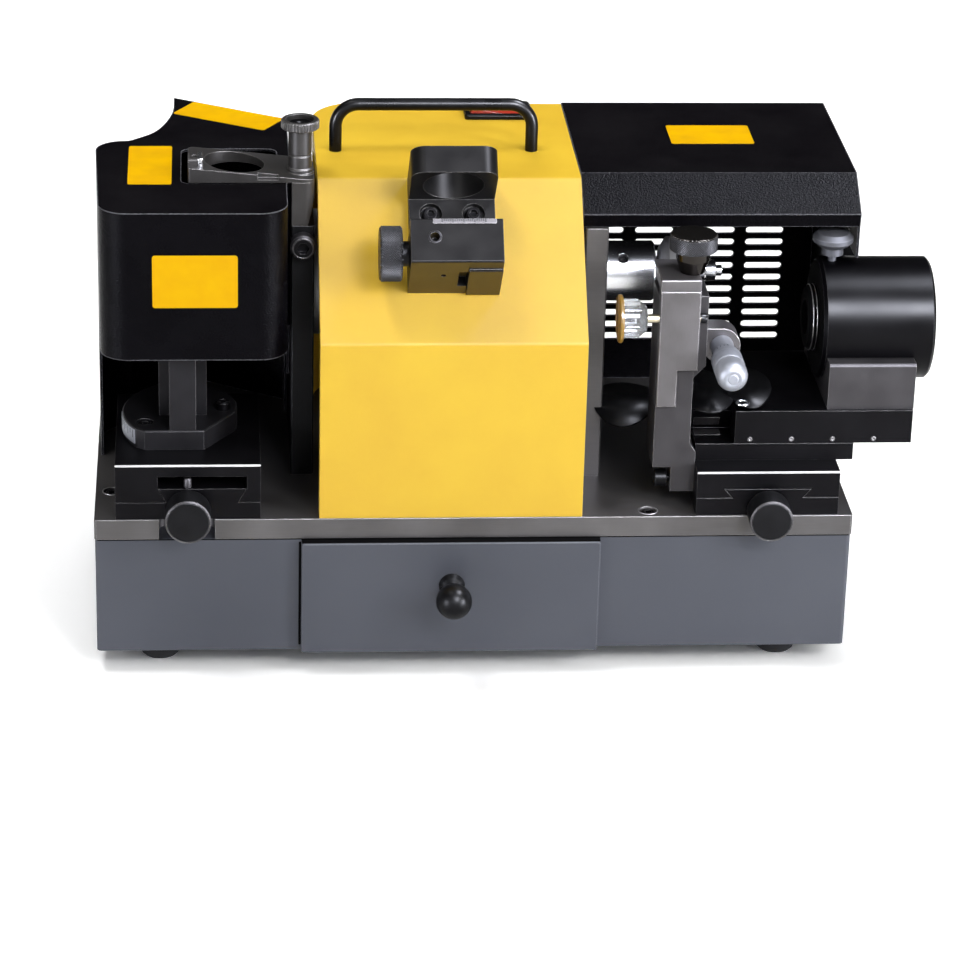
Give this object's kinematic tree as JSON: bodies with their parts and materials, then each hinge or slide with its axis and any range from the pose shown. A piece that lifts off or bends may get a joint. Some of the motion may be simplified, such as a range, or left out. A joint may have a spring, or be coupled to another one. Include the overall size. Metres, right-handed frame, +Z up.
{
  "type": "endmill grinder",
  "caption": "Bench grinder for sharpening end mills: sloped motor cover with a setting fixture, chuck arm over a guarded wheel, feed slides, work head, micrometer rest and a drawer.",
  "frame": {"origin": "middle of the bounding box in plan, at the bottom of the feet", "axes": "+X to the operator's right along the bed, +Y away from the operator, +Z up"},
  "size_m": [0.476, 0.2658, 0.3072],
  "materials": {
    "yellow_paint": "fine textured powder coat",
    "black_paint": "wrinkled powder coat",
    "grey_paint": "satin",
    "zinc_sheet": "zinc plated",
    "bed_steel": "ground and oiled",
    "black_steel": "blackened",
    "ground_steel": "milled",
    "bright_steel": "polished",
    "satin_chrome": "satin",
    "black_plastic": "glossy",
    "red_plastic": "glossy",
    "clear_plastic": "clear",
    "amber_plastic": "glossy",
    "brass": "turned",
    "rubber": "matte",
    "motor_casting": "cast",
    "abrasive": "bonded grit"
  },
  "bodies": {
    "base": {"base_box": "grey_paint", "rubber_feet": "rubber", "bed_plate": "bed_steel", "cap_screws": "black_steel", "cable_gland": "black_plastic", "left_bearing_plate": "bed_steel", "right_bearing_plate": "bed_steel", "motor_body": "motor_casting", "shaft_bearings": "bright_steel", "spindle_tube": "bright_steel", "motor_cover": "yellow_paint", "carry_handle": "black_plastic", "switch_bezel": "black_plastic", "setting_seat": "black_steel", "setting_block": "black_steel", "wheel_cover": "black_paint", "arm_post": "ground_steel", "left_slide_base": "black_steel", "right_slide_base": "black_steel", "right_hood": "black_paint", "rear_panel": "black_paint"},
    "drawer": {"drawer_tray": "zinc_sheet", "drawer_front": "grey_paint", "drawer_pull": "black_plastic"},
    "rotor": {"motor_shaft": "bright_steel", "left_wheel": "abrasive", "wheel_clamps": "bright_steel", "right_wheel": "abrasive"},
    "rocker": {"switch_rocker": "red_plastic"},
    "gauge": {"setting_gauge": "black_steel"},
    "gauge_knob": {"setting_knob": "black_steel"},
    "arm": {"chuck_arm": "ground_steel", "index_key": "ground_steel"},
    "arm_lock": {"lock_knob": "ground_steel"},
    "left_feed": {"left_feed_screw": "black_plastic"},
    "left_carriage": {"left_saddle": "black_steel"},
    "swivel": {"swivel_base": "black_steel", "swivel_screws": "black_steel", "rest_post": "ground_steel"},
    "right_feed": {"right_feed_screw": "black_plastic"},
    "right_carriage": {"right_saddle": "black_steel", "cross_guide": "black_steel", "rest_bracket": "ground_steel", "micrometer_clamp": "black_steel", "micrometer_sleeve": "satin_chrome", "dust_flap": "rubber"},
    "cross": {"cross_slide": "black_steel", "cradle": "black_steel", "work_head": "black_steel"},
    "spindle": {"work_spindle": "black_steel"},
    "plunger": {"index_plunger": "ground_steel"},
    "lift": {"height_slide": "ground_steel", "slide_cap": "ground_steel"},
    "lift_knob": {"height_knob": "ground_steel"},
    "stop": {"stop_screw": "brass", "stop_knob": "clear_plastic", "stop_disc": "amber_plastic"},
    "thumb": {"thumb_screw": "ground_steel"},
    "mic_spindle": {"micrometer_spindle": "satin_chrome"},
    "mic_thimble": {"micrometer_thimble": "satin_chrome"}
  },
  "joints": [
    {"name": "drawer_slide", "type": "slide", "parent": "base", "child": "drawer", "axis": [0, -1, 0], "range_m": [0, 0.13]},
    {"name": "motor_spin", "type": "hinge", "parent": "base", "child": "rotor", "pos_m": [-0.0372, 0.00795, 0.205], "axis": [1, 0, 0], "continuous": true},
    {"name": "switch_rock", "type": "hinge", "parent": "base", "child": "rocker", "pos_m": [-0.002, 0.08995, 0.2741], "axis": [0, 1, 0], "range_deg": [-12, 0]},
    {"name": "gauge_knob_turn", "type": "hinge", "parent": "base", "child": "gauge_knob", "pos_m": [-0.0372, -0.08226, 0.24976], "axis": [1, 0, 0], "range_deg": [0, 2160]},
    {"name": "gauge_slide", "type": "slide", "parent": "base", "child": "gauge", "axis": [1, 0, 0], "range_m": [0, 0.006]},
    {"name": "arm_swing", "type": "hinge", "parent": "base", "child": "arm", "pos_m": [-0.1214, -0.02105, 0.278], "axis": [0, 0, 1], "range_deg": [-20, 25]},
    {"name": "arm_lock_turn", "type": "hinge", "parent": "base", "child": "arm_lock", "pos_m": [-0.1214, -0.02105, 0.291], "axis": [0, 0, 1], "range_deg": [0, 180]},
    {"name": "left_feed_turn", "type": "hinge", "parent": "base", "child": "left_feed", "pos_m": [-0.18525, -0.09705, 0.1026], "axis": [0, 1, 0], "range_deg": [0, 5400]},
    {"name": "left_carriage_slide", "type": "slide", "parent": "base", "child": "left_carriage", "axis": [0, 1, 0], "range_m": [0, 0.015]},
    {"name": "swivel_turn", "type": "hinge", "parent": "left_carriage", "child": "swivel", "pos_m": [-0.188, -0.04105, 0.134], "axis": [0, 0, 1], "range_deg": [-20, 20]},
    {"name": "right_feed_turn", "type": "hinge", "parent": "base", "child": "right_feed", "pos_m": [0.14275, -0.09705, 0.1004], "axis": [0, 1, 0], "range_deg": [0, 5760]},
    {"name": "right_carriage_slide", "type": "slide", "parent": "base", "child": "right_carriage", "axis": [0, 1, 0], "range_m": [0, 0.016]},
    {"name": "cross_travel", "type": "slide", "parent": "right_carriage", "child": "cross", "axis": [1, 0, 0], "range_m": [-0.022, 0]},
    {"name": "work_spin", "type": "hinge", "parent": "cross", "child": "spindle", "pos_m": [0.202, -0.03305, 0.192], "axis": [1, 0, 0], "continuous": true},
    {"name": "plunger_pull", "type": "slide", "parent": "cross", "child": "plunger", "axis": [0, 0, 1], "range_m": [0, 0.003], "stiffness_N_per_m": 400, "springref_m": -0.004},
    {"name": "height_knob_turn", "type": "hinge", "parent": "lift", "child": "lift_knob", "pos_m": [0.0965, -0.07105, 0.246], "axis": [0, 0, 1], "range_deg": [0, 3600]},
    {"name": "height_slide_lift", "type": "slide", "parent": "right_carriage", "child": "lift", "axis": [0, 0, 1], "range_m": [0, 0.01]},
    {"name": "stop_turn", "type": "hinge", "parent": "lift", "child": "stop", "pos_m": [0.062, -0.08125, 0.2105], "axis": [1, 0, 0], "range_deg": [-180, 180]},
    {"name": "thumb_turn", "type": "hinge", "parent": "right_carriage", "child": "thumb", "pos_m": [0.088, -0.07605, 0.111], "axis": [1, 0, 0], "range_deg": [-180, 0]},
    {"name": "thimble_turn", "type": "hinge", "parent": "mic_spindle", "child": "mic_thimble", "pos_m": [0.1176, -0.09705, 0.1839], "axis": [0, 1, 0], "range_deg": [-2880, 4320]},
    {"name": "mic_travel", "type": "slide", "parent": "right_carriage", "child": "mic_spindle", "axis": [0, 1, 0], "range_m": [-0.004, 0.006]}
  ],
  "couplings": [
    {"joint": "gauge_knob_turn", "follows": "gauge_slide", "rad_per_m": 6283.2},
    {"joint": "left_feed_turn", "follows": "left_carriage_slide", "rad_per_m": 6283.2},
    {"joint": "right_feed_turn", "follows": "right_carriage_slide", "rad_per_m": 6283.2},
    {"joint": "height_knob_turn", "follows": "height_slide_lift", "rad_per_m": 6283.2},
    {"joint": "thimble_turn", "follows": "mic_travel", "rad_per_m": 12566}
  ]
}
